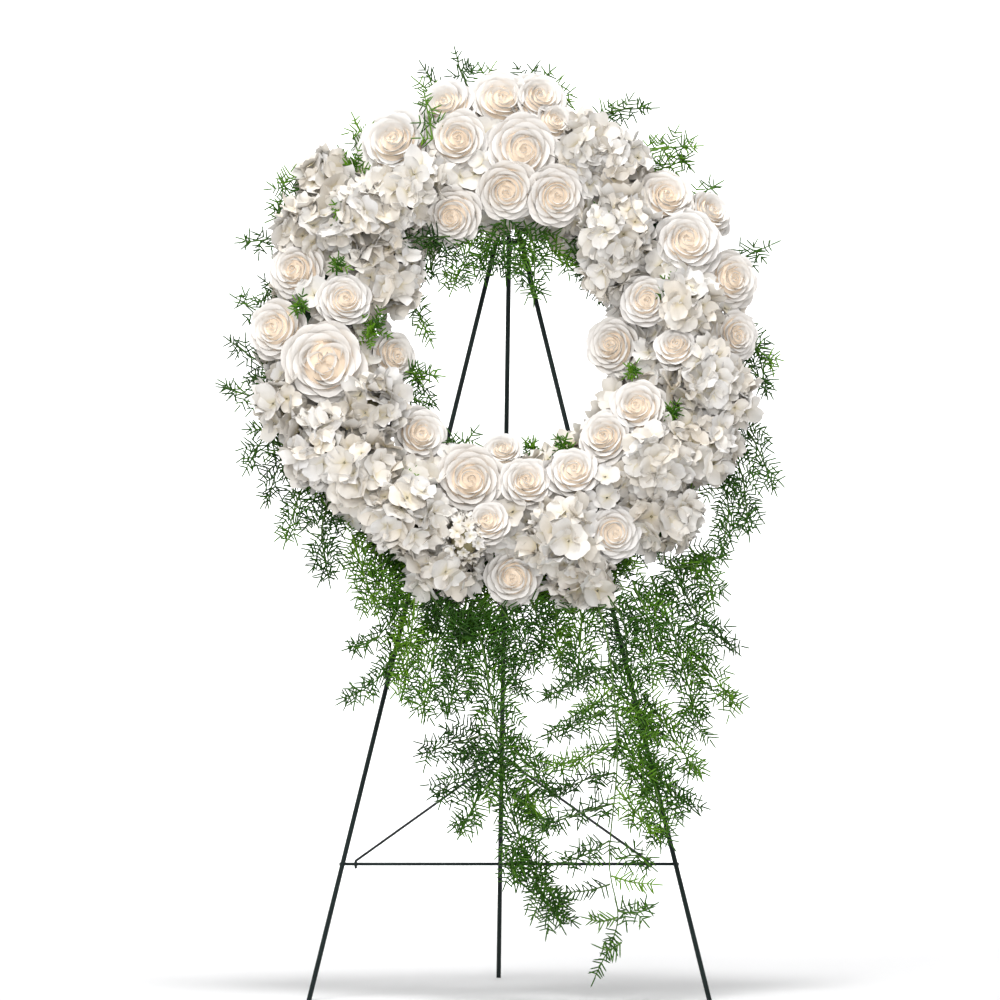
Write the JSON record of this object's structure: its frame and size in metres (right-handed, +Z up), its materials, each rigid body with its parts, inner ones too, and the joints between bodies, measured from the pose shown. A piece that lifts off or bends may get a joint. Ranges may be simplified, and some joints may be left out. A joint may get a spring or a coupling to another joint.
{
  "type": "funeral wreath",
  "caption": "Ring of ivory roses, white hydrangea and asparagus fern with trailing sprays, hung on the front of a folding wire easel with a rear leg",
  "frame": {"origin": "on the floor, under the middle of the bounding box", "axes": "+Z up, the flowers face -Y, +X to the right seen from the front"},
  "size_m": [0.7492, 0.5944, 1.1992],
  "materials": {
    "easel_paint": "dark green, nearly black paint on steel wire, satin",
    "rose_petal": "soft ivory petals, matt",
    "hydrangea_petal": "thin white petals, matt",
    "stock_petal": "ruffled white petals, matt",
    "fern_green": "green needles and stems, slightly waxy",
    "floral_foam": "dark green open-celled foam, soaked",
    "tray_plastic": "dark green moulded plastic, matt"
  },
  "bodies": {
    "frame": {"fern_hole_left": "fern_green", "fern_hole_low": "fern_green", "fern_hole_top": "fern_green", "fern_left": "fern_green", "fern_right": "fern_green", "fern_top": "fern_green", "fern_trail_left": "fern_green", "fern_trail_right": "fern_green", "foam_ring": "floral_foam", "front_leg_left": "easel_paint", "front_leg_right": "easel_paint", "hinge_pin": "easel_paint", "hydrangea_bottom_left": "hydrangea_petal", "hydrangea_bottom_right": "hydrangea_petal", "hydrangea_left": "hydrangea_petal", "hydrangea_left_inner": "hydrangea_petal", "hydrangea_right": "hydrangea_petal", "hydrangea_right_inner": "hydrangea_petal", "hydrangea_right_low": "hydrangea_petal", "hydrangea_top_left": "hydrangea_petal", "hydrangea_top_right": "hydrangea_petal", "lower_crossbar": "easel_paint", "rose_bottom_centre": "rose_petal", "rose_bottom_corner": "rose_petal", "rose_bottom_edge": "rose_petal", "rose_bottom_inner": "rose_petal", "rose_bottom_left": "rose_petal", "rose_bottom_low": "rose_petal", "rose_bottom_outer": "rose_petal", "rose_bottom_right": "rose_petal", "rose_crown_centre": "rose_petal", "rose_crown_left": "rose_petal", "rose_crown_right": "rose_petal", "rose_inner_top": "rose_petal", "rose_inner_top_left": "rose_petal", "rose_inner_top_right": "rose_petal", "rose_left_edge": "rose_petal", "rose_left_inner": "rose_petal", "rose_left_lower": "rose_petal", "rose_left_open": "rose_petal", "rose_left_outer": "rose_petal", "rose_left_upper": "rose_petal", "rose_right_cup": "rose_petal", "rose_right_edge": "rose_petal", "rose_right_hollow": "rose_petal", "rose_right_inner": "rose_petal", "rose_right_low_edge": "rose_petal", "rose_right_lower": "rose_petal", "rose_right_outer": "rose_petal", "rose_right_upper": "rose_petal", "rose_shoulder_left": "rose_petal", "rose_shoulder_right": "rose_petal", "rose_top_centre": "rose_petal", "rose_top_left": "rose_petal", "rose_top_right": "rose_petal", "stock_sprig": "stock_petal", "tray_ring": "tray_plastic", "upper_crossbar": "easel_paint"},
    "rear_leg": {"rear_leg": "easel_paint"},
    "brace": {"brace": "easel_paint"}
  },
  "joints": [
    {"name": "rear_leg_fold", "type": "hinge", "parent": "frame", "child": "rear_leg", "pos_m": [0.00599, -0.00118, 0.94391], "axis": [-1, 0, 0], "range_deg": [0, 27]},
    {"name": "brace_fold", "type": "hinge", "parent": "frame", "child": "brace", "pos_m": [0.00599, -0.16149, 0.16421], "axis": [1, 0, 0], "range_deg": [0, 56]}
  ],
  "couplings": [
    {"joint": "brace_fold", "follows": "rear_leg_fold", "ratio": 2.05}
  ]
}
